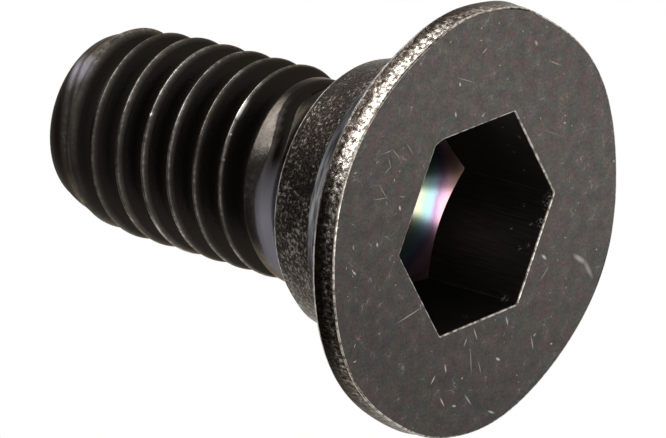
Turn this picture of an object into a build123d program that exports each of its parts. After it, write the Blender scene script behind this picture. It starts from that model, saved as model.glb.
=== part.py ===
from build123d import *
import math
import os

# Cleat bolt: one cold-forged and thread-rolled steel bolt with a black oxide finish.
# It stands on the flat face of its head. The origin is the centre of that face,
# and +Z runs along the axis to the threaded tip. All sizes are in millimetres.

# ---- Driving dimensions ------------------------------------------------------

length = 11.55             # head face to the end of the tip
edge_break = 0.04          # the small flat that each sharp outer edge is left with

# Head: a thin flange with a drafted rim, which flares into a tapered boss
face_diameter = 9.88       # rim, at the head face, midway between its lobes and its hollows
rim_draft = 0.035          # how far the rim leans out on its way to its back edge
lobe_height = 0.038        # how far the rim stands out by the socket's flats, and in by its corners
flange_thickness = 0.57
boss_diameter = 6.23       # boss, at its edge towards the thread
boss_height = 3.38         # head face to that edge
boss_taper = 15.5          # degrees off the axis, wider towards the flange
flare_radius = 1.85        # hollow curve from the boss out to the flange

# Socket: a punched hexagon whose floor is the punch's cone
across_flats = 4.63
socket_depth = 2.68        # head face to the floor, in the hexagon's corners
floor_cone = 120.0         # degrees, included
mouth_break = 0.04

# Thread: M5 x 0.8, right hand, rolled on to the shank. It goes on out through the tip.
thread_diameter = 4.92     # over the first crests, on the low side of the M5 tolerance
pitch = 0.80
crest_flat = pitch / 8
groove_depth = 0.6134 * pitch
groove_angle = 60.0        # degrees, included
thread_start = 1.70        # boss's edge up to the groove's middle, where full depth begins
groove_clock = -74.0       # degrees about +Z to the low end, from the socket's +X corner
neck_runout = 235.0        # degrees in which the groove rises out by the neck

# Neck: an undercut with a hollow curve from the boss's edge, and a shoulder up to the shank
neck_undercut = 0.21       # how far the neck lies under the first crests
neck_radius = 0.95
shoulder_height = 0.12

# Tip: the shank tapers slightly, leads in, and ends in a rounding
lead_taper = 0.06          # how much narrower than the first crests the lead begins
lead_height = 0.52
tip_taper = 0.18           # how much narrower than the first crests the rounding begins
tip_radius = 1.37
tip_height = 1.13          # from the end back to the start of the rounding

# ---- Sizes that follow from them ---------------------------------------------

flange_diameter = face_diameter + 2 * rim_draft
neck_diameter = thread_diameter - 2 * neck_undercut
lead_diameter = thread_diameter - lead_taper
tip_diameter = thread_diameter - tip_taper
groove_low = boss_height + thread_start
tip_start = length - tip_height
trim_margin = 0.1          # what is cut away starts this far outside the bolt
blank_r = flange_diameter / 2 + lobe_height + trim_margin


def arc_point(centre, radius, angle):
    """A point of an arc in the half section, as (distance from the axis, height)."""
    turn = math.radians(angle)
    return (centre[0] + radius * math.cos(turn), centre[1] + radius * math.sin(turn))


def section_arc(centre, radius, start, end):
    """An arc of the half section, between two angles in degrees."""
    points = [arc_point(centre, radius, a) for a in (start, (start + end) / 2, end)]
    return ThreePointArc(*[(r, 0, z) for r, z in points])


def flare():
    """The hollow flare, from a little outside the rim to where it touches the tapered boss."""
    slope = math.tan(math.radians(boss_taper))
    centre_z = flange_thickness + flare_radius
    boss_r = boss_diameter / 2 + (boss_height - centre_z) * slope
    centre_r = boss_r + flare_radius / math.cos(math.radians(boss_taper))
    start_r = min(centre_r, blank_r)
    start = 180 + math.degrees(math.acos((centre_r - start_r) / flare_radius))
    return section_arc((centre_r, centre_z), flare_radius, start, 180 + boss_taper)


def neck():
    """The hollow neck, from the boss's sharp edge to the undercut."""
    centre_r = neck_diameter / 2 + neck_radius
    edge_r = boss_diameter / 2 - edge_break
    rise = math.sqrt(neck_radius**2 - (centre_r - edge_r) ** 2)
    start = 180 + math.degrees(math.asin(rise / neck_radius))
    return section_arc((centre_r, boss_height + rise), neck_radius, start, 180)


def rounded_tip():
    """The rounding, from the lead to the end face."""
    centre = (tip_diameter / 2 - tip_radius, tip_start)
    return section_arc(centre, tip_radius, 0, math.degrees(math.asin(tip_height / tip_radius)))


def blank():
    """The forged blank: its half section turned about the axis, and trimmed to the lobed rim."""
    flange_points = [(0, 0, 0), (blank_r, 0, 0)]
    if blank_r > (flare() @ 0).X:
        flange_points.append((blank_r, 0, flange_thickness))    # flat back of a wide flange
    flange_side = Polyline(*flange_points, flare() @ 0)
    boss_side = Polyline(
        flare() @ 1,
        (boss_diameter / 2, 0, boss_height - edge_break),
        neck() @ 0,
    )
    shank_side = Polyline(
        neck() @ 1,
        (thread_diameter / 2, 0, (neck() @ 1).Z + shoulder_height),
        (lead_diameter / 2, 0, tip_start - lead_height),
        rounded_tip() @ 0,
    )
    end_face = Polyline(rounded_tip() @ 1, (0, 0, length), (0, 0, 0))
    outline = flange_side + flare() + boss_side + neck() + shank_side + rounded_tip() + end_face
    return revolve(make_face(outline), axis=Axis.Z) - rim_trim()


def lobed_section(radius, height):
    """A level section of the rim, which stands out beside each flat of the socket."""
    steps = 8 * 6
    points = []
    for step in range(steps):
        turn = 2 * math.pi * step / steps
        reach = radius - lobe_height * math.cos(6 * turn)
        points.append((reach * math.cos(turn), reach * math.sin(turn), height))
    return make_face(Spline(*points, periodic=True))


def rim_trim():
    """What is cut away round the rim. The rim's two edges are broken at 45 degrees."""
    face_r = face_diameter / 2
    flange_r = flange_diameter / 2
    back_over = 2 * edge_break
    flare_top = (flare() @ 1).Z
    rim = loft(
        [
            lobed_section(face_r - edge_break - trim_margin, -trim_margin),
            lobed_section(face_r, edge_break),
            lobed_section(flange_r, flange_thickness),
            lobed_section(flange_r - back_over, flange_thickness + back_over),
            lobed_section(flange_r - back_over, flare_top),
        ],
        ruled=True,
    )
    height = trim_margin + flare_top
    around = Pos(0, 0, height / 2 - trim_margin) * Cylinder(blank_r + trim_margin, height)
    return around - rim


def socket():
    """The punch that forms the socket: a hexagonal bar with a conical nose."""
    corner_r = across_flats / 2 / math.cos(math.radians(30))
    nose_height = corner_r / math.tan(math.radians(floor_cone / 2))
    bar = extrude(RegularPolygon(corner_r, 6), socket_depth + nose_height)
    body = Pos(0, 0, socket_depth / 2) * Cylinder(corner_r, socket_depth)
    nose = Pos(0, 0, socket_depth + nose_height / 2) * Cone(corner_r, 0, nose_height)
    mouth = extrude(RegularPolygon(corner_r + mouth_break, 6), mouth_break, taper=45)
    return (bar & (body + nose)) + mouth


def groove_section(reach):
    """The groove's section at the shank's +X side, open to a little outside the crests."""
    slope = math.tan(math.radians(groove_angle / 2))
    half_mouth = (pitch - crest_flat) / 2
    half_root = half_mouth - groove_depth * slope
    half_outer = half_mouth + reach * slope
    root_r = thread_diameter / 2 - groove_depth
    outer_r = thread_diameter / 2 + reach
    return make_face(
        Polyline(
            (root_r, 0, -half_root),
            (outer_r, 0, -half_outer),
            (outer_r, 0, half_outer),
            (root_r, 0, half_root),
            close=True,
        )
    )


def groove_turn(degrees, rise, reach):
    """One stretch of groove going up from the section. It opens outwards by rise on its way."""
    climb = pitch * degrees / 360
    cone = math.degrees(math.atan(rise / climb))
    slant_pitch = pitch / math.cos(math.radians(cone))
    path = Helix(slant_pitch, climb, thread_diameter / 2, cone_angle=cone)
    return sweep(groove_section(reach), path=path, is_frenet=True)


def thread_groove():
    """The rolled groove: whole turns that meet end to end and leave the tip, and the run-out."""
    reach = crest_flat / 2
    low_end = Pos(0, 0, groove_low) * Rot(0, 0, groove_clock)
    one_turn = groove_turn(360, 0, reach)
    turns = math.ceil((length + pitch / 2 - groove_low) / pitch)
    stretches = [Pos(0, 0, pitch * turn) * low_end * one_turn for turn in range(turns)]
    runout = groove_turn(neck_runout, groove_depth + reach, reach)
    stretches.append(low_end * Rot(180, 0, 0) * runout)
    return stretches


cleat_bolt = blank() - socket() - thread_groove()

os.makedirs("parts", exist_ok=True)
export_step(cleat_bolt, "parts/cleat_bolt.step")
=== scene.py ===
import math

import bpy
import numpy as np
from mathutils import Matrix, Vector, noise


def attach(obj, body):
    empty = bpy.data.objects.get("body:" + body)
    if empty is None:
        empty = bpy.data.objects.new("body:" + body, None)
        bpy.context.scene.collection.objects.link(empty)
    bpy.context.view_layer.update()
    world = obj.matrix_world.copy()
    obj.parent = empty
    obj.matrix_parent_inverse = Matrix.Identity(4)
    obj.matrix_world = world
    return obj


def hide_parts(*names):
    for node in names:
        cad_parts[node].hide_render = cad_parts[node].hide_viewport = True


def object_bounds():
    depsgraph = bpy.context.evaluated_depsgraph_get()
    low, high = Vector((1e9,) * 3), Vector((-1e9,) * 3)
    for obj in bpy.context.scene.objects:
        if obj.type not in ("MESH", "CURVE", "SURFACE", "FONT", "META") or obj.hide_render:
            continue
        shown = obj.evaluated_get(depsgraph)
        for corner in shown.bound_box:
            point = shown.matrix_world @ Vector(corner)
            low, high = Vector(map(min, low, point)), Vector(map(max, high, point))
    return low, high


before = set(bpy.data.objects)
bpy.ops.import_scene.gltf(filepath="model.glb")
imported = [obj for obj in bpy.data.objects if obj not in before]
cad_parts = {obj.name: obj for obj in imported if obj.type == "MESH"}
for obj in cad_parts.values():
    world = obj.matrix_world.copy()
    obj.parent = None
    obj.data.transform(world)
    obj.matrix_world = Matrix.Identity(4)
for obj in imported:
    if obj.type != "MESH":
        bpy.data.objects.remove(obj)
cad_low, cad_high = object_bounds()

# ---- Hexagon socket -----------------------------------------------------------
# The socket is punched cold into the head. The punch leaves straight walls with sharp corners,
# a thin turned-over edge at the mouth, and a conical floor. The bolt is one piece, so every
# section from here to the tip adds rings of points to one skin, which goes on round the part.

MM = 0.001                      # the frame is in metres, and the sizes here are in millimetres
across_flats = 4.63
socket_depth = 2.68             # to the floor, in the hexagon's corners
floor_slope = math.tan(math.radians(30))
corner_round = 0.07
mouth_break = 0.04
burr_reach = 2.542              # from the axis to the burr's line, which cuts off one corner
burr_place = math.radians(73)
burr_spread = math.radians(60)  # from here on, the burr's line is well outside the hexagon

columns = 720                   # points in a ring where corners, lobes or dents need them
half = columns // 2             # points in any other ring
points = []
rubbed = []                     # each point's share of wear
faces = []
finishes = []                   # each face's finish
materials = []


def angles(count):
    """The directions of a ring's points, from +X on."""
    return np.arange(count) * 2 * math.pi / count


def ring(radius, height, count=columns):
    """Adds one ring of points round the axis and returns their numbers."""
    turn = angles(count)
    radius = np.broadcast_to(radius, count)
    height = np.broadcast_to(height, count)
    first = len(points)
    points.extend(np.stack([radius * np.cos(turn), radius * np.sin(turn), height], 1).tolist())
    rubbed.extend([0.0] * count)
    return list(range(first, first + count))


def face(corners, finish):
    """Adds one face, without the corners that fall together."""
    corners = [c for k, c in enumerate(corners) if c != corners[k - 1]]
    if len(corners) > 2:
        faces.append(corners)
        finishes.append(finish)


def skin(inner, outer, finish):
    """Closes the band between two rings. One may have half the other's points, or be one point."""
    count = max(len(inner), len(outer))
    inner_step = count // len(inner)
    outer_step = count // len(outer)
    step = max(inner_step, outer_step) if min(len(inner), len(outer)) > 1 else 1
    for k in range(0, count, step):
        start = [inner[(k + n) // inner_step % len(inner)] for n in range(step + 1)]
        end = [outer[(k + n) // outer_step % len(outer)] for n in range(step + 1)]
        face(start + end[::-1], finish)


def skins(rings, finish):
    """Closes the bands between rings that follow one another."""
    for inner, outer in zip(rings, rings[1:]):
        skin(inner, outer, finish)


def hexagon(count=columns):
    """Distance from the axis to the walls, with the corners slightly rounded."""
    off_corner = np.abs((angles(count) + math.pi / 6) % (math.pi / 3) - math.pi / 6)
    wall = across_flats / 2 / np.cos(math.pi / 6 - off_corner)
    centre = (across_flats / 2 - corner_round) / math.cos(math.pi / 6)
    aside = centre * np.sin(off_corner)
    rounded = centre * np.cos(off_corner) + np.sqrt(np.maximum(corner_round**2 - aside**2, 0))
    in_corner = aside < corner_round / 2 * np.cos(off_corner)
    return np.where(in_corner, np.minimum(rounded, wall), wall)


def mouth_outline(out, count=columns):
    """The mouth, a little outside the walls. A burr turned in by the punch fills one corner."""
    facing = np.maximum(np.cos(angles(count) - burr_place), math.cos(burr_spread))
    return np.minimum(hexagon(count) + out, (burr_reach + out) / facing)


def floor_height(radius):
    """The height of the floor's cone, at a distance from the axis."""
    return socket_depth + (across_flats / math.sqrt(3) - radius) * floor_slope


def colour(code):
    """An sRGB hex value as the linear colour that a shader takes."""
    shares = [int(code[k:k + 2], 16) / 255 for k in (1, 3, 5)]
    return (*[s / 12.92 if s <= 0.04045 else ((s + 0.055) / 1.055) ** 2.4 for s in shares], 1)


def add_node(tree, kind, inputs=None, stops=None, **settings):
    """Adds a shader node with its settings. An input is a value, or another node's output.

    The stops of a colour ramp go in order, each with its place and its colour.
    """
    node = tree.nodes.new("ShaderNode" + kind)
    for name, value in settings.items():
        setattr(node, name, value)
    for name, value in (inputs or {}).items():
        if isinstance(value, bpy.types.NodeSocket):
            tree.links.new(value, node.inputs[name])
        else:
            node.inputs[name].default_value = value
    if stops:
        ramp = node.color_ramp.elements
        ramp[0].position = stops[0][0]
        ramp[1].position = stops[-1][0]
        for stop_place, code in stops[1:-1]:
            ramp.new(stop_place)
        for stop, (stop_place, code) in zip(ramp, stops):
            stop.color = colour(code)
    return node


def start_finish(name, roughness, oxide=0.0):
    """Starts a metal finish, with a share of dull oxide that isn't metal.

    Returns its tree, its metal shader, and the place on the bolt in millimetres.
    """
    material = bpy.data.materials.new(name)
    material.use_nodes = True
    materials.append(material)
    tree = material.node_tree
    metal = tree.nodes["Principled BSDF"]
    metal.inputs["Metallic"].default_value = 1 - oxide
    metal.inputs["Roughness"].default_value = roughness
    metres = add_node(tree, "TexCoord").outputs["Object"]
    place = add_node(tree, "VectorMath", {0: metres, "Scale": 1 / MM}, operation="SCALE").outputs[0]
    return tree, metal, place


def rubbed_edge(name, roughness, size, dark, bright, oxide=0.0):
    """A finish whose oxide is rubbed away in stretches of about one size, in mm."""
    tree, metal, place = start_finish(name, roughness, oxide)
    breaks = add_node(tree, "TexNoise", {"Vector": place, "Scale": 1 / size, "Detail": 4})
    edge_shade = add_node(tree, "ValToRGB", {"Fac": breaks.outputs["Fac"]}, stops=[dark, bright])
    tree.links.new(edge_shade.outputs["Color"], metal.inputs["Base Color"])


apex = ring(0.0, floor_height(0.0), 1)
floor_rings = [ring(part * hexagon(half), floor_height(part * hexagon(half)), half)
               for part in (0.15, 0.35, 0.55, 0.75, 0.9)]
foot = ring(hexagon(), floor_height(hexagon()))
wall_rings = [foot] + [ring(hexagon(), mouth_break + (floor_height(hexagon()) - mouth_break) * part)
                       for part in (0.8, 0.5, 0.2, 0.05)]
wall_rings.append(ring(mouth_outline(0), mouth_break))
mouth_rings = [ring(mouth_outline(mouth_break * (1 - math.cos(math.radians(a)))),
                    mouth_break * (1 - math.sin(math.radians(a))))
               for a in (30, 60, 90)]
skins([apex] + floor_rings + [foot], "burnished_socket_floor")
skins(wall_rings, "oxide_socket_wall")
skins([wall_rings[-1]] + mouth_rings, "rubbed_mouth_edge")

# The punch's nose burnished the floor, so its oxide is smooth and thin enough to show a temper
# colour, from straw to blue, which changes with the distance from the axis.
tree, metal, place = start_finish("burnished_socket_floor", 0.16)
level = add_node(tree, "VectorMath", {0: place, 1: (1, 1, 0)}, operation="MULTIPLY").outputs[0]
off_axis = add_node(tree, "VectorMath", {0: level}, operation="LENGTH").outputs["Value"]
cloud = add_node(tree, "TexNoise", {"Vector": place, "Scale": 1 / 0.5, "Detail": 3}).outputs["Fac"]
uneven = add_node(tree, "Math", {0: cloud, 1: 0.25, 2: off_axis}, operation="MULTIPLY_ADD").outputs[0]
band = add_node(tree, "MapRange", {"Value": uneven, "From Min": 1.72, "From Max": 2.79}).outputs[0]
temper = add_node(tree, "ValToRGB", {"Fac": band}, stops=[
    (0.0, "#6f6264"), (0.16, "#636452"), (0.30, "#50625a"), (0.44, "#4f5f68"),
    (0.54, "#544456"), (0.66, "#71575f"), (0.84, "#6e5446"), (1.0, "#7d6c62"),
])
tree.links.new(temper.outputs["Color"], metal.inputs["Base Color"])

# The walls kept the black oxide as it formed: dull and nearly black. The punch left fine drag lines
# along them, which are drawn 0.05 mm wide, coarser than they are, so that they show.
tree, metal, place = start_finish("oxide_socket_wall", 0.42, 0.3)
drag_place = add_node(tree, "VectorMath", {0: place, 1: (1, 1, 0.08)}, operation="MULTIPLY").outputs[0]
drag = add_node(tree, "TexNoise", {"Vector": drag_place, "Scale": 1 / 0.05, "Detail": 4}).outputs["Fac"]
drag_shade = add_node(tree, "ValToRGB", {"Fac": drag}, stops=[
    (0.35, "#232220"), (0.75, "#37342f"),
])

# Keys have chipped the walls near the mouth, down to bright steel in flakes. Each chip has its
# middle and its width.
chips = [
    (-2.59, -0.15, 0.02, 0.24), (-2.54, -0.21, 0.06, 0.20), (-2.31, -0.62, 0.09, 0.15),
    (-2.45, -0.39, 0.71, 0.05), (-2.02, -1.13, 0.24, 0.07), (-1.96, -1.23, 0.43, 0.06),
    (-2.15, -0.90, 0.86, 0.05), (-1.79, 1.53, 0.28, 0.06), (-2.10, 0.99, 0.70, 0.05),
    (-2.39, 0.48, 0.66, 0.04), (-2.00, 1.16, 0.79, 0.04), (-1.69, 1.70, 0.70, 0.05),
    (-1.61, -2.31, 1.13, 0.06), (-1.45, -2.32, 0.61, 0.10), (-1.37, -2.31, 0.39, 0.12),
    (-0.01, -2.32, 0.42, 0.07), (0.09, -2.32, 0.30, 0.05), (-2.25, -0.72, 0.35, 0.05),
]
worn_wall = 0.0
for x, y, z, wide in chips:
    away = add_node(tree, "VectorMath", {0: place, 1: (x, y, z)}, operation="DISTANCE").outputs["Value"]
    chip = add_node(tree, "MapRange", {"Value": away, "From Min": 0.4 * wide, "From Max": 1.1 * wide,
                                       "To Min": 0.7, "To Max": 0}).outputs[0]
    worn_wall = add_node(tree, "Math", {0: worn_wall, 1: chip}, operation="MAXIMUM").outputs[0]
flakes = add_node(tree, "TexNoise", {"Vector": place, "Scale": 1 / 0.05, "Detail": 3}).outputs["Fac"]
flaked = add_node(tree, "MapRange", {"Value": flakes, "From Min": 0.50, "From Max": 0.60}).outputs[0]
worn_wall = add_node(tree, "Math", {0: worn_wall, 1: flaked}, operation="MULTIPLY").outputs[0]
chip_shade = add_node(tree, "Mix", {"Factor": worn_wall, 6: drag_shade.outputs["Color"],
                                    7: colour("#d8d0c4")}, data_type="RGBA").outputs[2]
tree.links.new(chip_shade, metal.inputs["Base Color"])
drag_bump = add_node(tree, "Bump", {"Height": drag, "Distance": 0.004 * MM}).outputs[0]
tree.links.new(drag_bump, metal.inputs["Normal"])

# Where the mouth's edge was rubbed, the oxide is gone and bright steel shows in broken lengths.
rubbed_edge("rubbed_mouth_edge", 0.3, 0.16, (0.36, "#5b5651"), (0.60, "#c9c1b5"))

# ---- Head face and rim ----------------------------------------------------------
# A thin round flange. Punching the socket pushed the metal out beside its six flats, so the rim
# is slightly six-lobed. Tumbling has pebbled the rim and rubbed its two edges bright.

corner_reach = (cad_high.x - cad_low.x) / 2 / MM
flat_reach = (cad_high.y - cad_low.y) / 2 / MM
flange_radius = (corner_reach + flat_reach) / 2   # at the rim's back edge
lobe = (flat_reach - corner_reach) / 2
rim_draft = 0.035               # how far the rim leans out on its way to the back edge
flange_thickness = 0.57
edge_round = 0.04
beside_edge = 0.02              # a ring this near an edge keeps the edge's shading to itself
dent_size = 0.14
dent_depth = 0.010
peened_in = 0.004               # how far peening took the rim in

# Where forging left the rim fuller or scanter: the direction and width in degrees, and how far.
fuller_places = [(110, 9, 0.072), (292, 11, 0.050), (200, 16, 0.028), (70, 8, -0.030)]


def hump(value, middle, width):
    """1 at the middle, falling smoothly to nearly 0 two widths away."""
    return np.exp(-((value - middle) / width) ** 2)


def lobed(radius, count=columns):
    """The rim's distance from the axis: least at the hexagon's corners, most at its flats."""
    reach = radius - lobe * np.cos(6 * angles(count))
    for direction, width, rise in fuller_places:
        reach = reach + rise * hump(angles(count), math.radians(direction), math.radians(width))
    return reach


def arc(centre, radius, start, end, count):
    """Points of a round stretch of the outline, as (distance from the axis, height)."""
    turns = np.radians(np.linspace(start, end, count))
    return [(centre[0] + radius * math.cos(a), centre[1] + radius * math.sin(a)) for a in turns]


def pebble(radius, height):
    """Shallow dents of two sizes in the tumbled rim, as a change of the distance from the axis."""
    change = []
    for reach, turn in zip(radius, angles(columns)):
        dent = Vector((reach * math.cos(turn), reach * math.sin(turn), height)) / dent_size
        change.append(noise.noise(dent) + 0.5 * noise.noise(2.3 * dent))
    return np.array(change)


mouth = mouth_outline(mouth_break)
half_mouth = mouth_outline(mouth_break, half)
face_radius = flange_radius - rim_draft
face_edge = face_radius - edge_round
near_mouth = ring(mouth + beside_edge, 0.0)
inner_face = ring(mouth + 0.08 * (lobed(face_edge) - mouth), 0.0)
face_rings = [ring(half_mouth + part * (lobed(face_edge, half) - half_mouth), 0.0, half)
              for part in (0.2, 0.35, 0.5, 0.65, 0.8, 0.9)]
near_edge = ring(lobed(face_edge - beside_edge), 0.0)
outer_face = ring(lobed(face_edge), 0.0)
skins([mouth_rings[-1], near_mouth, inner_face, *face_rings, near_edge, outer_face],
      "oxide_pressed_face")

edge_arc = arc((face_edge, edge_round), edge_round, -90, 0, 6)[1:]
edge_rings = [ring(lobed(r), z) for r, z in edge_arc]
skins([outer_face] + edge_rings, "rubbed_outer_edge")

rim_rows = 14
rim_rings = []
for row in range(1, rim_rows):
    part = row / rim_rows
    r = lobed(face_radius + part * rim_draft)
    z = edge_round + part * (flange_thickness - 2 * edge_round)
    fade = min(1, 4 * part, 4 * (1 - part))     # the dents fade out by both edges
    rim_rings.append(ring(r + fade * (dent_depth * pebble(r, z) - peened_in), z))
back_centre = (flange_radius - edge_round, flange_thickness - edge_round)
back_rings = [ring(lobed(r), z) for r, z in arc(back_centre, edge_round, 0, 90, 4)[:-1]]
skins([edge_rings[-1]] + rim_rings + [back_rings[0]], "peened_rim")

# The face was pressed flat by the die and then blackened. Oil has stained the oxide in faint
# warm, green and grey clouds. It is also painted lighter towards one side and darker towards the
# other: painted light and shade. The steel's grain, which shows through, is drawn 0.06 mm wide,
# coarser than it is.
tree, metal, place = start_finish("oxide_pressed_face", 0.5)
stain = add_node(tree, "TexNoise", {"Vector": place, "Scale": 1 / 0.5, "Detail": 7, "Roughness": 0.72,
                                    "Distortion": 0.4}).outputs["Fac"]
stain_shade = add_node(tree, "ValToRGB", {"Fac": stain}, stops=[
    (0.28, "#4f5150"), (0.38, "#5b5550"), (0.45, "#5f5150"), (0.51, "#515350"),
    (0.57, "#5b574f"), (0.64, "#625051"), (0.72, "#4f5255"),
]).outputs["Color"]
grain = add_node(tree, "TexNoise", {"Vector": place, "Scale": 1 / 0.06, "Detail": 2}).outputs["Fac"]
grain_level = add_node(tree, "MapRange", {"Value": grain, "From Min": 0.3, "From Max": 0.7,
                                          "To Min": 0.80, "To Max": 1.24}).outputs[0]
cloud = add_node(tree, "TexNoise", {"Vector": place, "Scale": 1 / 0.35, "Detail": 4,
                                    "Roughness": 0.6}).outputs["Fac"]
cloud_level = add_node(tree, "MapRange", {"Value": cloud, "From Min": 0.3, "From Max": 0.7,
                                          "To Min": 0.80, "To Max": 1.22}).outputs[0]
# Painted light and shade: lighter towards this direction, darker away from it.
side = add_node(tree, "VectorMath", {0: place, 1: (-0.60, 0.8, 0)},
                operation="DOT_PRODUCT").outputs["Value"]
painted_side_light = add_node(tree, "MapRange", {"Value": side, "From Min": -3.5, "From Max": 2.6,
                                         "To Min": 0.64, "To Max": 1.10}).outputs[0]
level = add_node(tree, "Math", {0: grain_level, 1: painted_side_light}, operation="MULTIPLY").outputs[0]
level = add_node(tree, "Math", {0: level, 1: cloud_level}, operation="MULTIPLY").outputs[0]
face_shade = add_node(tree, "VectorMath", {0: stain_shade, "Scale": level}, operation="SCALE").outputs[0]

# Handling has left hair marks, which are bent lines with gaps, 0.01 mm wide, and bright specks up
# to 0.05 mm across.
bend = add_node(tree, "TexNoise", {"Vector": place, "Scale": 1 / 0.3}).outputs["Color"]
bent = add_node(tree, "VectorMath", {0: bend, 1: (0.5, 0.5, 0.0), 2: place},
                operation="MULTIPLY_ADD").outputs[0]
hair = add_node(tree, "TexVoronoi", {"Vector": bent, "Scale": 1 / 0.42},
                feature="DISTANCE_TO_EDGE", voronoi_dimensions="2D").outputs["Distance"]
hair_line = add_node(tree, "MapRange", {"Value": hair, "From Min": 0.006, "From Max": 0.013,
                                        "To Min": 0.45, "To Max": 0}).outputs[0]
gaps = add_node(tree, "TexNoise", {"Vector": place, "Scale": 1 / 0.35, "Detail": 3}).outputs["Fac"]
kept = add_node(tree, "MapRange", {"Value": gaps, "From Min": 0.57, "From Max": 0.68}).outputs[0]
marks = add_node(tree, "Math", {0: hair_line, 1: kept}, operation="MULTIPLY").outputs[0]
speck = add_node(tree, "TexVoronoi", {"Vector": bent, "Scale": 1 / 0.28, "Randomness": 1.0},
                 voronoi_dimensions="2D")
speck_size = add_node(tree, "SeparateColor", {0: speck.outputs["Color"]}).outputs[0]
speck_reach = add_node(tree, "MapRange", {"Value": speck_size, "From Min": 0.80, "From Max": 1.0,
                                          "To Min": 0.0, "To Max": 0.085}).outputs[0]
speck_spot = add_node(tree, "Math", {0: speck.outputs["Distance"], 1: speck_reach},
                      operation="LESS_THAN").outputs[0]
speck_part = add_node(tree, "Math", {0: speck_spot, 1: 0.5}, operation="MULTIPLY").outputs[0]
marks = add_node(tree, "Math", {0: marks, 1: speck_part}, operation="MAXIMUM").outputs[0]

# A few scratches have their own places. Each has its middle, its length and width, its direction
# in degrees, and its brightness.
scratches = [
    (2.37, -1.51, 0.80, 0.022, 171, 0.7), (-3.55, -1.85, 0.50, 0.12, 37, 0.5),
    (-3.85, -2.18, 0.60, 0.12, 60, 0.35), (-2.31, -1.85, 0.42, 0.03, 140, 0.35),
    (1.17, -3.14, 0.20, 0.04, 80, 0.8), (1.60, -3.29, 0.21, 0.04, 133, 0.8),
    (1.30, -3.91, 0.27, 0.04, 60, 0.7), (0.89, -4.13, 0.14, 0.05, 17, 0.7),
    (0.41, -4.12, 0.35, 0.035, 54, 0.6), (0.29, -3.22, 0.60, 0.025, 89, 0.5),
    (0.12, -2.61, 0.30, 0.035, 70, 0.6), (-0.98, -2.62, 0.22, 0.045, 73, 0.7),
    (-1.85, -3.40, 0.34, 0.035, 79, 0.55), (-2.30, -1.45, 0.20, 0.07, 44, 0.8),
    (-0.65, -3.45, 0.16, 0.06, 33, 0.8), (-0.39, -4.66, 0.24, 0.05, 28, 0.6),
    (-0.01, -3.46, 0.36, 0.025, 74, 0.4), (0.47, -2.71, 0.20, 0.04, 123, 0.5),
    (0.34, 3.52, 0.55, 0.018, 25, 0.5), (0.54, 3.47, 0.10, 0.05, 78, 1.0),
    (0.70, 2.80, 0.12, 0.045, 83, 0.9), (-0.32, 4.04, 0.18, 0.03, 150, 0.7),
    (3.00, 2.55, 0.32, 0.02, 179, 0.5), (2.73, 2.42, 0.35, 0.02, 49, 0.5),
    (2.96, 2.28, 0.25, 0.02, 73, 0.5), (3.02, 2.13, 0.22, 0.02, 156, 0.5),
    (2.27, 2.42, 0.35, 0.02, 56, 0.4), (3.29, 1.52, 0.46, 0.018, 10, 0.5),
    (3.18, 1.64, 0.44, 0.018, 56, 0.5), (3.42, 0.47, 0.10, 0.06, 82, 0.8),
    (2.64, 1.12, 0.12, 0.06, 73, 0.9), (-2.62, 1.46, 0.60, 0.02, 28, 0.25),
    (-2.75, 3.10, 0.45, 0.03, 28, 0.4), (-2.10, 3.75, 0.15, 0.06, 60, 0.6),
]
for x, y, long, wide, turned, strength in scratches:
    local = add_node(tree, "Mapping", {"Vector": place, "Location": (x, y, 0),
                                       "Rotation": (0, 0, math.radians(turned)),
                                       "Scale": (long / 2, wide / 2, 1)}, vector_type="TEXTURE")
    reach = add_node(tree, "VectorMath", {0: local.outputs[0]}, operation="LENGTH").outputs["Value"]
    scratch = add_node(tree, "MapRange", {"Value": reach, "From Min": 0.4, "From Max": 1.3,
                                          "To Min": 0.8 * strength, "To Max": 0}).outputs[0]
    marks = add_node(tree, "Math", {0: marks, 1: scratch}, operation="MAXIMUM").outputs[0]
brightened = add_node(tree, "Mix", {"Factor": marks, 6: face_shade, 7: colour("#d8d2ca")}, data_type="RGBA")
tree.links.new(brightened.outputs[2], metal.inputs["Base Color"])

# The two edges of the rim are rubbed through to bright steel.
rubbed_edge("rubbed_outer_edge", 0.3, 0.12, (0.36, "#69625b"), (0.58, "#cfc7bb"))

# Tumbling has peened the rim into small bright dents with dark oxide left between them. More of
# the steel is bare by the face, which is partly wear and partly a painted highlight, and the side
# where the upper lamp's highlight falls is painted brighter: a painted highlight.
tree, metal, place = start_finish("peened_rim", 0.26, 0.22)
dents = add_node(tree, "TexNoise", {"Vector": place, "Scale": 1 / 0.10, "Detail": 4,
                                    "Roughness": 0.68}).outputs["Fac"]
rise = add_node(tree, "SeparateXYZ", {0: place}).outputs["Z"]
# Brighter by the face: partly bare steel, partly a painted highlight.
bare_and_highlit_by_face = add_node(tree, "MapRange", {"Value": rise, "From Min": 0.22, "From Max": 0.42,
                                         "To Min": 0.09, "To Max": -0.10}).outputs[0]
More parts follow.
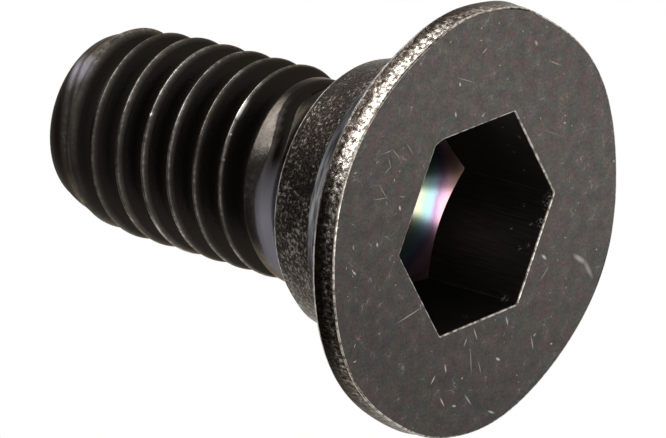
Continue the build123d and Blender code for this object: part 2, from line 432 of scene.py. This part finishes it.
# Painted highlight: brighter on the side where the upper lamp's reflection falls.
side = add_node(tree, "VectorMath", {0: place, 1: (0.64, 0.77, 0)},
                operation="DOT_PRODUCT").outputs["Value"]
painted_side_light = add_node(tree, "MapRange", {"Value": side, "From Min": 3.1, "From Max": 4.75,
                                         "To Min": -0.09, "To Max": 0.03}).outputs[0]
dent_and_highlight_level = add_node(tree, "Math", {0: dents, 1: bare_and_highlit_by_face}, operation="ADD").outputs[0]
dent_and_highlight_level = add_node(tree, "Math", {0: dent_and_highlight_level, 1: painted_side_light}, operation="ADD").outputs[0]
dent_and_highlight_shade = add_node(tree, "ValToRGB", {"Fac": dent_and_highlight_level}, stops=[
    (0.35, "#1a1512"), (0.48, "#38312c"), (0.59, "#736b63"), (0.70, "#d6cfc6"),
])
tree.links.new(dent_and_highlight_shade.outputs["Color"], metal.inputs["Base Color"])
metal.inputs["Specular Tint"].default_value = colour("#cdc6bc")
dent_bump = add_node(tree, "Bump", {"Height": dents, "Distance": 0.016 * MM}).outputs[0]
tree.links.new(dent_bump, metal.inputs["Normal"])

# ---- Boss and flare -------------------------------------------------------------
# The head narrows through a hollow flare into a tapered boss, with a sharp edge where it meets
# the shank. It was squeezed out a little further on one side.

boss_radius = 3.115             # at its sharp edge
boss_height = 3.38              # from the face to that edge
boss_taper = math.radians(15.5)
flare_radius = 1.85
swell_place = math.radians(308)
swell_width = math.radians(11)
swell_out = 0.07
swell_fade = 1.2                # from the boss's edge down to where the swell ends
flare_rows = 20
boss_rows = 12
edge_middle = 0.012             # how far the middle of the edge's rounding lies inside both sides

flare_height = flange_thickness + flare_radius
boss_at_centre = boss_radius + (boss_height - flare_height) * math.tan(boss_taper)
flare_centre = boss_at_centre + flare_radius / math.cos(boss_taper)


def swell(height):
    """How far the boss's side stands out where it was squeezed."""
    fade = max(0, 1 - (boss_height - height) / swell_fade)
    return swell_out * hump(angles(half), swell_place, swell_width) * fade


def flare_ring(part, count=half):
    """A ring of the flare, from the lobed rim, at part 0, to the round boss, at part 1."""
    bottom = np.arccos((flare_centre - lobed(flange_radius - edge_round, count)) / flare_radius)
    radius = flare_centre - flare_radius * np.cos(bottom + (boss_taper - bottom) * part)
    height = flare_height - np.sqrt(flare_radius**2 - (flare_centre - radius) ** 2)
    return ring(radius, height, count)


flare_edge = flare_ring(0, columns)
skins(back_rings + [flare_edge], "rubbed_outer_edge")
flare_rings = [flare_ring(row / flare_rows) for row in range(1, flare_rows + 1)]
skins([flare_edge] + flare_rings, "oxide_forged_flare")

boss_rings = [flare_rings[-1]]
foot_radius = flare_centre - flare_radius * math.cos(boss_taper)
foot_height = flare_height - flare_radius * math.sin(boss_taper)
for row in range(1, boss_rows + 1):
    part = row / boss_rows
    r = foot_radius + part * (boss_radius - foot_radius)
    z = foot_height + part * (boss_height - edge_round - foot_height)
    boss_rings.append(ring(r + swell(z), z, half))
skins(boss_rings[:2], "oxide_forged_flare")
skins(boss_rings[1:], "oxide_grained_boss")
boss_edge = boss_radius - edge_round
edge_top = ring(boss_edge + swell(boss_height), boss_height, half)
edge_mid = ring(boss_radius - edge_middle + swell(boss_height), boss_height - edge_middle, half)
skins([boss_rings[-1], edge_mid, edge_top], "rubbed_boss_edge")

# The flare kept the forging die's smooth skin under its black oxide, which looks blue-black. A pale
# band is painted across one side of it, nearly black on either side: a painted highlight.
tree, metal, place = start_finish("oxide_forged_flare", 0.35, 0.4)
flow_place = add_node(tree, "VectorMath", {0: place, 1: (1, 1, 6)}, operation="MULTIPLY").outputs[0]
flow = add_node(tree, "TexNoise", {"Vector": flow_place, "Scale": 1 / 0.5, "Detail": 5}).outputs["Fac"]
flow_shade = add_node(tree, "ValToRGB", {"Fac": flow}, stops=[
    (0.38, "#68676b"), (0.62, "#bdbcc1"),
])
# Painted highlight: palest in a band across the flare, darker away from it.
across = add_node(tree, "SeparateXYZ", {0: place}).outputs["Y"]
aside = add_node(tree, "Math", {0: across, 1: -0.9}, operation="ADD").outputs[0]
aside = add_node(tree, "Math", {0: aside}, operation="ABSOLUTE").outputs[0]
painted_band_level = add_node(tree, "MapRange", {"Value": aside, "From Min": 0.2, "From Max": 1.4,
                                         "To Min": 0.95, "To Max": 0.22}).outputs[0]
flare_shade = add_node(tree, "VectorMath", {0: flow_shade.outputs["Color"], "Scale": painted_band_level},
                       operation="SCALE").outputs[0]
tree.links.new(flare_shade, metal.inputs["Base Color"])
metal.inputs["Specular Tint"].default_value = colour("#9c9ba2")

# The boss's side is granular where the metal was stretched, in a browner oxide whose high grains
# have been rubbed to bare steel. It is painted lighter on one side and darker on the other:
# painted light and shade.
tree, metal, place = start_finish("oxide_grained_boss", 0.28, 0.25)
pits = add_node(tree, "TexNoise", {"Vector": place, "Scale": 1 / 0.09, "Detail": 4,
                                   "Roughness": 0.66}).outputs["Fac"]
patch = add_node(tree, "TexNoise", {"Vector": place, "Scale": 1 / 0.7, "Detail": 2}).outputs["Fac"]
patch_level = add_node(tree, "MapRange", {"Value": patch, "From Min": 0.35, "From Max": 0.65,
                                          "To Min": -0.05, "To Max": 0.05}).outputs[0]
# Painted light and shade: lighter towards -Y, darker towards +Y.
across = add_node(tree, "SeparateXYZ", {0: place}).outputs["Y"]
painted_side_shade = add_node(tree, "MapRange", {"Value": across, "From Min": -2.0, "From Max": 1.6,
                                           "To Min": 0.09, "To Max": -0.05}).outputs[0]
pit_and_painted_shade_level = add_node(tree, "Math", {0: pits, 1: patch_level}, operation="ADD").outputs[0]
pit_and_painted_shade_level = add_node(tree, "Math", {0: pit_and_painted_shade_level, 1: painted_side_shade}, operation="ADD").outputs[0]
pit_and_painted_shade = add_node(tree, "ValToRGB", {"Fac": pit_and_painted_shade_level}, stops=[
    (0.42, "#201c19"), (0.51, "#38312c"), (0.57, "#625a53"), (0.68, "#a8a39b"),
])
tree.links.new(pit_and_painted_shade.outputs["Color"], metal.inputs["Base Color"])
metal.inputs["Specular Tint"].default_value = colour("#aaa49c")
pit_bump = add_node(tree, "Bump", {"Height": pits, "Distance": 0.034 * MM}).outputs[0]
tree.links.new(pit_bump, metal.inputs["Normal"])

# The sharp edge of the boss was rubbed down to dull bright steel.
rubbed_edge("rubbed_boss_edge", 0.5, 0.15, (0.35, "#7b756d"), (0.60, "#d6d0c6"), oxide=0.3)

# ---- Neck -----------------------------------------------------------------------
# The shank is undercut where it leaves the boss's edge, in a hollow curve that the same forging die
# left. The rings end where the thread's own grid of points takes over.

neck_curve = 0.95
undercut_radius = 2.25
neck_rows = 12
grid_low = 4.0
neck_centre = undercut_radius + neck_curve
neck_top = boss_height + math.sqrt(neck_curve**2 - (neck_centre - boss_edge) ** 2)


def neck_radius(height):
    """The hollow curve's distance from the axis, and the undercut's above it."""
    under = np.maximum(neck_top - height, 0)
    return neck_centre - np.sqrt(neck_curve**2 - under**2)


# The rows lie a little closer by the boss's edge, where the neck turns most.
neck_rings = [edge_top]
for row in range(1, neck_rows + 1):
    part = row / neck_rows
    height = boss_height + (grid_low - boss_height) * part**1.3
    neck_rings.append(ring(neck_radius(height) + swell(boss_height) * (1 - part) ** 2, height, half))
skins(neck_rings, "oxide_forged_neck")

# The neck is as the die left it, smooth under its black oxide, which is brown-black. Its lower
# side is painted a paler blue-grey: painted light.
tree, metal, place = start_finish("oxide_forged_neck", 0.35, 0.7)
flow = add_node(tree, "TexNoise", {"Vector": place, "Scale": 1 / 0.4, "Detail": 5}).outputs["Fac"]
flow_shade = add_node(tree, "ValToRGB", {"Fac": flow}, stops=[
    (0.35, "#454140"), (0.65, "#5a5550"),
])
# Painted light: paler blue-grey towards the lower side.
across = add_node(tree, "SeparateXYZ", {0: place}).outputs["Y"]
painted_underlight = add_node(tree, "MapRange", {"Value": across, "From Min": -0.1, "From Max": 1.3,
                                    "To Min": 1, "To Max": 0}).outputs[0]
neck_shade = add_node(tree, "Mix", {"Factor": painted_underlight, 6: flow_shade.outputs["Color"],
                                    7: colour("#85838b")}, data_type="RGBA").outputs[2]
tree.links.new(neck_shade, metal.inputs["Base Color"])

# ---- Rolled thread and tip ------------------------------------------------------
# Dies rolled an M5 x 0.8 thread up out of the shank, so its roots and crests are rounded. By the
# neck the first ridge is a broad land. Towards the tip the shank filled the dies less, so the last
# ridges are soft, the groove fades out, and a short lead ends in a rounding.

length = (cad_high.z - cad_low.z) / MM
pitch = 0.80
groove_depth = 0.6134 * pitch
flank = 1 / math.tan(math.radians(30))
full_crest = 2.45               # from the axis, and the full groove's root lies groove_depth inside it
root_round = 0.07
crest_round = 0.06
crest_lift = 0.3                # how much of its extra softness a crest is lifted by
even_lift = 0.008               # what every crest is lifted by, as rounding takes it off
groove_low = 5.08               # the groove has its full depth from here
groove_high = 10.34             # to here
groove_clock = math.radians(-74)
neck_runout = 235 / 360         # the turns in which the groove runs out by the neck
neck_rise = 0.05                # how far above the skin its root has risen at the end of that
tip_runout = 0.5                # and the same by the tip
tip_rise = 0.12

# The first ridge, in shares of a turn from the groove's low end: it starts as a land, sinks where
# the second groove begins, and rises again. Its foot follows the groove on part of the way.
sink_start = 0.36
sink_takes = 0.17
sink_end = (0.70, 0.98)
sink_depth = 0.2
sink_edge = 0.02                # in pitches, either side of the groove's middle
follow_start = (0.29, 0.40)
follow_end = (0.78, 0.97)
follow_above = 0.03             # how far above the groove's middle the foot then lies
land_foot = 4.22                # the foot's height elsewhere
slope_height = 0.24             # from the neck up to the land
slope_more = 0.30               # how much taller the slope is at the start and the end of the turn
slope_start = (0.22, 0.30)
slope_end = (0.85, 0.97)
slope_below = 0.3               # the share of the slope that lies below the foot

# The shank tapers slightly, then leads in to the rounding. Its ridges soften between two heights,
# and the last of them softens more.
tip_radius = 1.37
tip_height = 1.13
tip_start = length - tip_height
tip_reach = 2.325
shank_heights = [4.5, 9.6, tip_start]
shank_radii = [2.475, 2.43, tip_reach]
softens = (8.8, 10.4)
crest_softer = 0.08
root_softer = 0.06
last_softens = (10.0, 10.6)
last_softer = 0.06

# The wire was cut short on one side, which left a dent in the rounding. The other side is full,
# with a raised end and the trace of one more groove.
short_side = math.radians(-64)
short_depth = 0.14
short_start = (10.15, 10.72)
short_end = (11.05, 11.50)
full_side = math.radians(110)
trace_depth = 0.08
trace_height = 10.98
ridge_rise = 0.035
ridge_height = 10.42
trace_width = 0.15
raised = (11.2, 11.4)
raised_by = 0.05


def ease(low, high, value):
    """Goes smoothly from 0 at low to 1 at high."""
    part = np.clip((value - low) / (high - low), 0, 1)
    return part * part * (3 - 2 * part)


def crest_softness(height):
    """The size of the crests' rounding, which grows towards the tip."""
    return crest_round + crest_softer * ease(*softens, height) + last_softer * ease(*last_softens, height)


def crest_radius(height):
    """Outside of the full thread: a slight taper, a lead, and the rounded tip."""
    straight = np.interp(height, shank_heights, shank_radii)
    over = np.maximum(height - tip_start, 0)
    rounded = tip_reach - tip_radius + np.sqrt(np.maximum(tip_radius**2 - over**2, 0))
    return np.where(height > tip_start, rounded, straight)


def tip_dent(turn, height):
    """How far the rounding falls short of its full form."""
    short = np.maximum(np.cos(turn - short_side), 0) ** 3
    dent = short_depth * short * ease(*short_start, height) * (1 - ease(*short_end, height))
    full = np.maximum(np.cos(turn - full_side), 0) ** 2
    trace = trace_depth * hump(height, trace_height, trace_width)
    ridge = ridge_rise * hump(height, ridge_height, trace_width)
    return dent + full * (trace - ridge - raised_by * ease(*raised, height))


def unrolled_radius(turn, height, clock, along):
    """Distance from the axis to the skin that the groove cuts into: neck, land, crests and tip."""
    sunk = np.clip((clock - sink_start) / sink_takes, 0, 1) * (1 - ease(*sink_end, clock))
    first = 1 - ease(-sink_edge, sink_edge, along)
    crest = crest_radius(height) - tip_dent(turn, height) - sink_depth * sunk * first
    follow = ease(*follow_start, clock) * (1 - ease(*follow_end, clock))
    followed = groove_low - pitch + pitch * clock + follow_above
    foot = land_foot + follow * (followed - land_foot)
    spread = slope_height + slope_more * (1 - ease(*slope_start, clock) + ease(*slope_end, clock))
    rise = ease(foot - slope_below * spread, foot + (1 - slope_below) * spread, height)
    return neck_radius(height) + (crest - neck_radius(height)) * rise


def threaded_radius(turn, height):
    """Distance from the axis to the rolled skin, in a direction and at a height."""
    clock = (turn - groove_clock) / (2 * math.pi)
    clock = clock - np.floor(clock)
    along = (height - groove_low) / pitch - clock
    nearest = np.round(along)
    off = pitch * (along - nearest)
    travel = nearest + clock
    full = (groove_high - groove_low) / pitch
    out = np.clip(np.maximum(-travel / neck_runout, (travel - full) / tip_runout), 0, 1)

    blank = unrolled_radius(turn, height, clock, along)
    by_neck = blank - groove_depth * (1 - out) + neck_rise * out
    by_tip = full_crest - groove_depth + out * (groove_depth + tip_rise)
    root_soft = root_round + root_softer * ease(*softens, height)
    groove = np.where(travel < 0, by_neck, by_tip)
    groove = groove + flank * (np.sqrt(off**2 + root_soft**2) - root_soft)
    crest_soft = crest_softness(height)
    lift = crest_lift * (crest_soft - crest_round) + even_lift
    return (blank + groove - np.sqrt((blank - groove) ** 2 + crest_soft**2)) / 2 + lift


# What handling rubs: the crests a little way down their flanks, the land less, and a band of the
# rounding, which climbs from one direction in degrees to another. It steps down where it closes.
rubbed_down = 0.06
land_spared = 0.35
land_edge = 0.05                # in pitches, either side of the groove's middle
band_from = -60
band_to = 58
band_height = 10.57             # at +X
band_climb = 0.0035             # for each degree
band_bend = 0.00011             # for each degree squared, past +X
band_width = 0.14
band_rub = 0.78
band_clear = (-0.30, -0.12)     # heights from the band between which the crests' own wear ends


def rubbed_share(turn, height):
    """How much a place has been rubbed, from 0 to 1."""
    crest_soft = crest_softness(height) - crest_round
    crest = crest_radius(height) + crest_lift * crest_soft - tip_dent(turn, height)
    depth = crest - threaded_radius(turn, height)
    crest_rub = 1 - ease(0.0, rubbed_down + crest_soft, depth)
    clock = np.mod((turn - groove_clock) / (2 * math.pi), 1)
    on_land = 1 - ease(-land_edge, land_edge, (height - groove_low) / pitch - clock)

    direction = np.degrees(np.arctan2(np.sin(turn), np.cos(turn)))
    direction = np.clip(direction, band_from, band_to)
    middle = band_height + band_climb * direction + band_bend * np.maximum(direction, 0) ** 2
    below_band = 1 - ease(*band_clear, height - middle)
    band = band_rub * hump(height, middle, band_width)
    return np.maximum(crest_rub * below_band * (1 - land_spared * on_land), band)


# The rows of points follow the groove, in shares of the pitch from its middle, and lie closer by
# the crest. A point very near the grid's lower or upper end joins the ring there.
row_places = np.array([0.0, 0.09, 0.19, 0.28, 0.35, 0.41, 0.45, 0.485,
                       0.515, 0.55, 0.59, 0.65, 0.72, 0.81, 0.91])
join_gap = 0.012
end_round = 0.05
grid_high = length - end_round
rows = len(row_places)
base = groove_low - pitch * groove_clock / (2 * math.pi)
base -= pitch * math.ceil((base - grid_low + pitch) / pitch)
turns_total = math.ceil((grid_high - base) / pitch) + 2
turn = angles(half)
grid_foot = neck_rings[-1]
end_radius = threaded_radius(turn, grid_high)
grid_top = ring(end_radius, grid_high, half)
grid = []
for row in range(rows * turns_total):
    height = base + pitch * (row // rows + row_places[row % rows] + turn / (2 * math.pi))
    height = np.clip(height, grid_low, grid_high)
    radius = threaded_radius(turn, height)
    share = rubbed_share(turn, height)
    numbers = []
    for k in range(half):
        if height[k] <= grid_low + join_gap:
            numbers.append(grid_foot[k])
        elif height[k] >= grid_high - join_gap:
            numbers.append(grid_top[k])
        else:
            numbers.append(len(points))
            points.append([radius[k] * math.cos(turn[k]), radius[k] * math.sin(turn[k]), height[k]])
            rubbed.append(float(share[k]))
    grid.append(numbers)

# Each row goes on, one turn further, as a row one pitch higher.
for row in range(rows * (turns_total - 1) - 1):
    lower = grid[row] + [grid[row + rows][0]]
    upper = grid[row + 1] + [grid[row + rows + 1][0]]
    for k in range(half):
        face([lower[k], lower[k + 1], upper[k + 1], upper[k]], "oxide_rolled_thread")

# The end's small rounding and its flat, in shares of the grid's last radius and of the rounding.
end_rings = [grid_top]
for part, drop in [(0.97, 0.6), (0.93, 0.25), (0.88, 0.05), (0.7, 0.0), (0.4, 0.0)]:
    end_rings.append(ring(end_radius * part, length - end_round * drop, half))
end_rings.append(ring(0.0, length, 1))
skins(end_rings, "oxide_rolled_thread")

# Rolling pressed the thread smooth, and its oxide is the deepest black, painted paler on its lower
# side as painted light. The crests, which rub on everything, have worn to a thin brown oxide.
tree, metal, place = start_finish("oxide_rolled_thread", 0.27, 0.22)
worn_crest = add_node(tree, "Attribute", attribute_name="rubbed").outputs["Fac"]
nicks = add_node(tree, "TexNoise", {"Vector": place, "Scale": 1 / 0.1, "Detail": 4}).outputs["Fac"]
nick_share = add_node(tree, "MapRange", {"Value": nicks, "From Min": 0.38, "From Max": 0.68,
                                         "To Min": 0.60, "To Max": 1.0}).outputs[0]
lengths = add_node(tree, "TexNoise", {"Vector": place, "Scale": 1 / 0.9, "Detail": 2}).outputs["Fac"]
length_share = add_node(tree, "MapRange", {"Value": lengths, "From Min": 0.38, "From Max": 0.60,
                                           "To Min": 0.55, "To Max": 1.0}).outputs[0]
crest_wear = add_node(tree, "Math", {0: worn_crest, 1: nick_share}, operation="MULTIPLY").outputs[0]
crest_wear = add_node(tree, "Math", {0: crest_wear, 1: length_share}, operation="MULTIPLY").outputs[0]
thread_shade = add_node(tree, "ValToRGB", {"Fac": crest_wear}, stops=[
    (0.0, "#171514"), (0.5, "#4a4541"), (1.0, "#8b8782"),
])
# Painted light: up to three times paler towards the lower side.
across = add_node(tree, "SeparateXYZ", {0: place}).outputs["Y"]
painted_lower_light = add_node(tree, "MapRange", {"Value": across, "From Min": -2.2, "From Max": -0.3,
                                    "To Min": 3.0, "To Max": 1.0}).outputs[0]
thread_shade = add_node(tree, "VectorMath", {0: thread_shade.outputs["Color"], "Scale": painted_lower_light},
                        operation="SCALE").outputs[0]

# Nicks in the crests show bright steel. Each has its middle and its width.
crest_nicks = [
    (2.03, 1.41, 8.12, 0.10), (1.77, 1.72, 8.79, 0.06), (2.41, 0.55, 7.87, 0.09),
    (2.45, 0.29, 7.34, 0.07), (0.59, 2.40, 6.68, 0.12), (2.29, 0.92, 5.61, 0.09),
    (2.47, -0.08, 5.42, 0.06), (2.47, -0.04, 9.05, 0.06),
    (1.99, 1.45, 5.65, 0.08), (2.06, 1.36, 5.63, 0.09),
]
bright = 0.0
for x, y, z, wide in crest_nicks:
    away = add_node(tree, "VectorMath", {0: place, 1: (x, y, z)}, operation="DISTANCE").outputs["Value"]
    nick = add_node(tree, "MapRange", {"Value": away, "From Min": 0.35 * wide, "From Max": 0.6 * wide,
                                       "To Min": 0.85, "To Max": 0}).outputs[0]
    bright = add_node(tree, "Math", {0: bright, 1: nick}, operation="MAXIMUM").outputs[0]

# The rubbed first crest is painted brighter where it faces the upper lamp: a painted highlight.
away = add_node(tree, "VectorMath", {0: place, 1: (1.53, 1.94, 5.66)}, operation="DISTANCE")
land_highlight = add_node(tree, "MapRange", {"Value": away.outputs["Value"], "From Min": 0.14, "From Max": 0.32,
                                   "To Min": 1, "To Max": 0}).outputs[0]
land_highlight = add_node(tree, "Math", {0: land_highlight, 1: worn_crest}, operation="MULTIPLY").outputs[0]
bright = add_node(tree, "Math", {0: bright, 1: land_highlight}, operation="MAXIMUM").outputs[0]

# Below the thread, the undercut neck is painted paler blue-grey on its lower side: painted light.
above = add_node(tree, "SeparateXYZ", {0: place}).outputs["Z"]
painted_underlight = add_node(tree, "MapRange", {"Value": across, "From Min": -0.2, "From Max": 1.2,
                                    "To Min": 1, "To Max": 0}).outputs[0]
under = add_node(tree, "MapRange", {"Value": above, "From Min": 4.40, "From Max": 4.65,
                                    "To Min": 1, "To Max": 0}).outputs[0]
painted_underlight = add_node(tree, "Math", {0: painted_underlight, 1: under}, operation="MULTIPLY").outputs[0]
thread_shade = add_node(tree, "Mix", {"Factor": painted_underlight, 6: thread_shade, 7: colour("#75737b")},
                        data_type="RGBA").outputs[2]

# The worn band of the rounding is painted a pale lavender in one place: a painted highlight.
away = add_node(tree, "VectorMath", {0: place, 1: (1.42, 1.69, 11.00)}, operation="DISTANCE")
brightened = add_node(tree, "MapRange", {"Value": away.outputs["Value"], "From Min": 0.05, "From Max": 0.60,
                                    "To Min": 0.75, "To Max": 0}).outputs[0]
brightened = add_node(tree, "Math", {0: brightened, 1: worn_crest}, operation="MULTIPLY").outputs[0]
thread_shade = add_node(tree, "Mix", {"Factor": brightened, 6: thread_shade, 7: colour("#c3bfd0")},
                        data_type="RGBA").outputs[2]
thread_shade = add_node(tree, "Mix", {"Factor": bright, 6: thread_shade, 7: colour("#dcd6ce")},
                        data_type="RGBA").outputs[2]
tree.links.new(thread_shade, metal.inputs["Base Color"])
metal.inputs["Specular Tint"].default_value = colour("#b5a88f")

# The last ridges filled the dies less, so their skin is duller. The grain of the rolled skin is
# drawn 0.08 mm wide, coarser than it is.
duller = add_node(tree, "MapRange", {"Value": above, "From Min": 8.8, "From Max": 10.7,
                                     "To Min": 0.27, "To Max": 0.50}).outputs[0]
tree.links.new(duller, metal.inputs["Roughness"])
rolled = add_node(tree, "TexNoise", {"Vector": place, "Scale": 1 / 0.08, "Detail": 3}).outputs["Fac"]
rolled_bump = add_node(tree, "Bump", {"Height": rolled, "Distance": 0.004 * MM}).outputs[0]
tree.links.new(rolled_bump, metal.inputs["Normal"])

# The rings and the thread's grid are one skin. Edges sharper than 55 degrees stay crisp.
order = [material.name for material in materials]
mesh = bpy.data.meshes.new("cleat_bolt_skin")
mesh.from_pydata((np.array(points) * MM).tolist(), [], faces)
mesh.polygons.foreach_set("use_smooth", [True] * len(mesh.polygons))
mesh.polygons.foreach_set("material_index", [order.index(finish) for finish in finishes])
worn = mesh.attributes.new("rubbed", "FLOAT", "POINT")
worn.data.foreach_set("value", rubbed)
mesh.validate()
mesh.update()
mesh.set_sharp_from_angle(angle=math.radians(55))
for material in materials:
    mesh.materials.append(material)
bolt = bpy.data.objects.new("cleat_bolt_skin", mesh)
scene = bpy.context.scene
scene.collection.objects.link(bolt)
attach(bolt, "root")
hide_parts("cleat_bolt")

# ---- Floor ----------------------------------------------------------------------
# A plain pale sheet that the bolt stands on, with a round opening under the face, so that the
# face is lit and seen from below. It is one-sided: from below, and to lamps, it isn't there.

floor_reach = 600
opening = 4.94
sides = 64

inner_edge = [(opening * math.cos(a), opening * math.sin(a), 0) for a in angles(sides)]
outer_edge = [(floor_reach * math.cos(a), floor_reach * math.sin(a), 0) for a in angles(sides)]
sheet = bpy.data.meshes.new("floor_sheet")
sheet.from_pydata([[v * MM for v in p] for p in inner_edge + outer_edge], [],
                  [(sides + k, sides + (k + 1) % sides, (k + 1) % sides, k) for k in range(sides)])
floor = bpy.data.objects.new("floor_sheet", sheet)
scene.collection.objects.link(floor)

# Matt white paper, which has almost no shine. It is clear where the sheet isn't there.
paper = bpy.data.materials.new("matt_paper")
paper.use_nodes = True
tree = paper.node_tree
matt = tree.nodes["Principled BSDF"]
matt.inputs["Base Color"].default_value = colour("#f2f2f0")
matt.inputs["Roughness"].default_value = 0.9
below = add_node(tree, "NewGeometry").outputs["Backfacing"]
to_lamp = add_node(tree, "LightPath").outputs["Is Shadow Ray"]
unseen = add_node(tree, "Math", {0: below, 1: to_lamp}, operation="MAXIMUM").outputs[0]
clear = add_node(tree, "BsdfTransparent").outputs[0]
shown = add_node(tree, "MixShader", {0: unseen, 1: matt.outputs[0], 2: clear}).outputs[0]
tree.links.new(shown, tree.nodes["Material Output"].inputs["Surface"])
sheet.materials.append(paper)

# ---- Camera ---------------------------------------------------------------------
# A long lens looks up at the head's face from below and from one side, and is turned so that the
# bolt lies with its thread towards the left.

camera = bpy.data.objects.new("camera", bpy.data.cameras.new("camera"))
scene.collection.objects.link(camera)
scene.camera = camera
camera_place = Vector((142.209, 68.073, -123.099)) * MM
camera_aim = Vector((2.131, 0.161, 2.464)) * MM
camera_top = Vector((-0.2647, 0.9404, 0.2133))
forward = (camera_aim - camera_place).normalized()
right = forward.cross(camera_top).normalized()
turned = Matrix((right, right.cross(forward), -forward)).transposed()
camera.matrix_world = Matrix.Translation(camera_place) @ turned.to_4x4()
camera.data.sensor_width = 36
camera.data.lens = 479.6
camera.data.clip_start = 0.01

# ---- Softboxes ------------------------------------------------------------------
# Two studio lamps with flat diffusers. A long one lights the bolt's upper side, and a weaker one
# shines up at the face and into the socket.


def softbox(name, towards, distance, width, height, watts):
    """A soft lamp with square corners, facing the bolt from a direction. Sizes are in mm."""
    lamp = bpy.data.lights.new(name, "AREA")
    lamp.shape = "RECTANGLE"
    lamp.size = width * MM
    lamp.size_y = height * MM
    lamp.energy = watts
    box = bpy.data.objects.new(name, lamp)
    scene.collection.objects.link(box)
    out = Vector(towards).normalized()
    along = Vector((0, 0, 1)).cross(out).normalized()
    turned = Matrix((along, out.cross(along), out)).transposed()
    box.matrix_world = Matrix.Translation(out * distance * MM) @ turned.to_4x4()
    box.visible_camera = False


softbox("softbox_above", (0.20, 0.76, 0.62), 120, 130, 34, 0.15)
softbox("softbox_below", (0.15, -0.01, -0.985), 120, 34, 48, 0.045)

# ---- Cards ----------------------------------------------------------------------
# Cards of matt felt keep parts of the white studio out of the bolt's reflections. They show in
# reflections only, and cast no shadow.


def felt_card(name, corners, shade="#0c0c0c"):
    """A flat card with its corners in mm, black unless it has a shade of its own."""
    sheet = bpy.data.meshes.new(name)
    sheet.from_pydata([[v * MM for v in p] for p in corners], [], [tuple(range(len(corners)))])
    card = bpy.data.objects.new(name, sheet)
    scene.collection.objects.link(card)
    card.visible_camera = False
    card.visible_diffuse = False
    card.visible_shadow = False
    felt = bpy.data.materials.new(name)
    felt.use_nodes = True
    felt.node_tree.nodes["Principled BSDF"].inputs["Base Color"].default_value = colour(shade)
    felt.node_tree.nodes["Principled BSDF"].inputs["Specular IOR Level"].default_value = 0
    sheet.materials.append(felt)


felt_card("card_above", [(-540, 1070, 220), (500, -1090, 220), (1600, -560, 220), (560, 1600, 220)])
felt_card("card_below", [(-150, 30, -200), (120, 30, -200), (120, 500, -60), (-150, 500, -60)],
          "#50505a")
felt_card("card_low", [(-20, -60, -200), (100, -60, -200), (100, -210, -200), (-20, -210, -200)])

# ---- Studio ---------------------------------------------------------------------
# A white studio all round. It looks full white, directly and in reflections, and gives half that
# as plain light, so that the bolt's dark oxide stays dark.

world = bpy.data.worlds.new("studio")
scene.world = world
world.use_nodes = True
tree = world.node_tree
path = add_node(tree, "LightPath")
seen = add_node(tree, "Math", {0: path.outputs["Is Camera Ray"], 1: path.outputs["Is Glossy Ray"]},
                operation="MAXIMUM").outputs[0]
seen = add_node(tree, "Math", {0: seen, 1: path.outputs["Is Transmission Ray"]},
                operation="MAXIMUM").outputs[0]
level = add_node(tree, "MapRange", {"Value": seen, "To Min": 0.5, "To Max": 1.0}).outputs[0]
tree.nodes["Background"].inputs["Color"].default_value = (1, 1, 1, 1)
tree.links.new(level, tree.nodes["Background"].inputs["Strength"])
scene.view_settings.view_transform = "Standard"
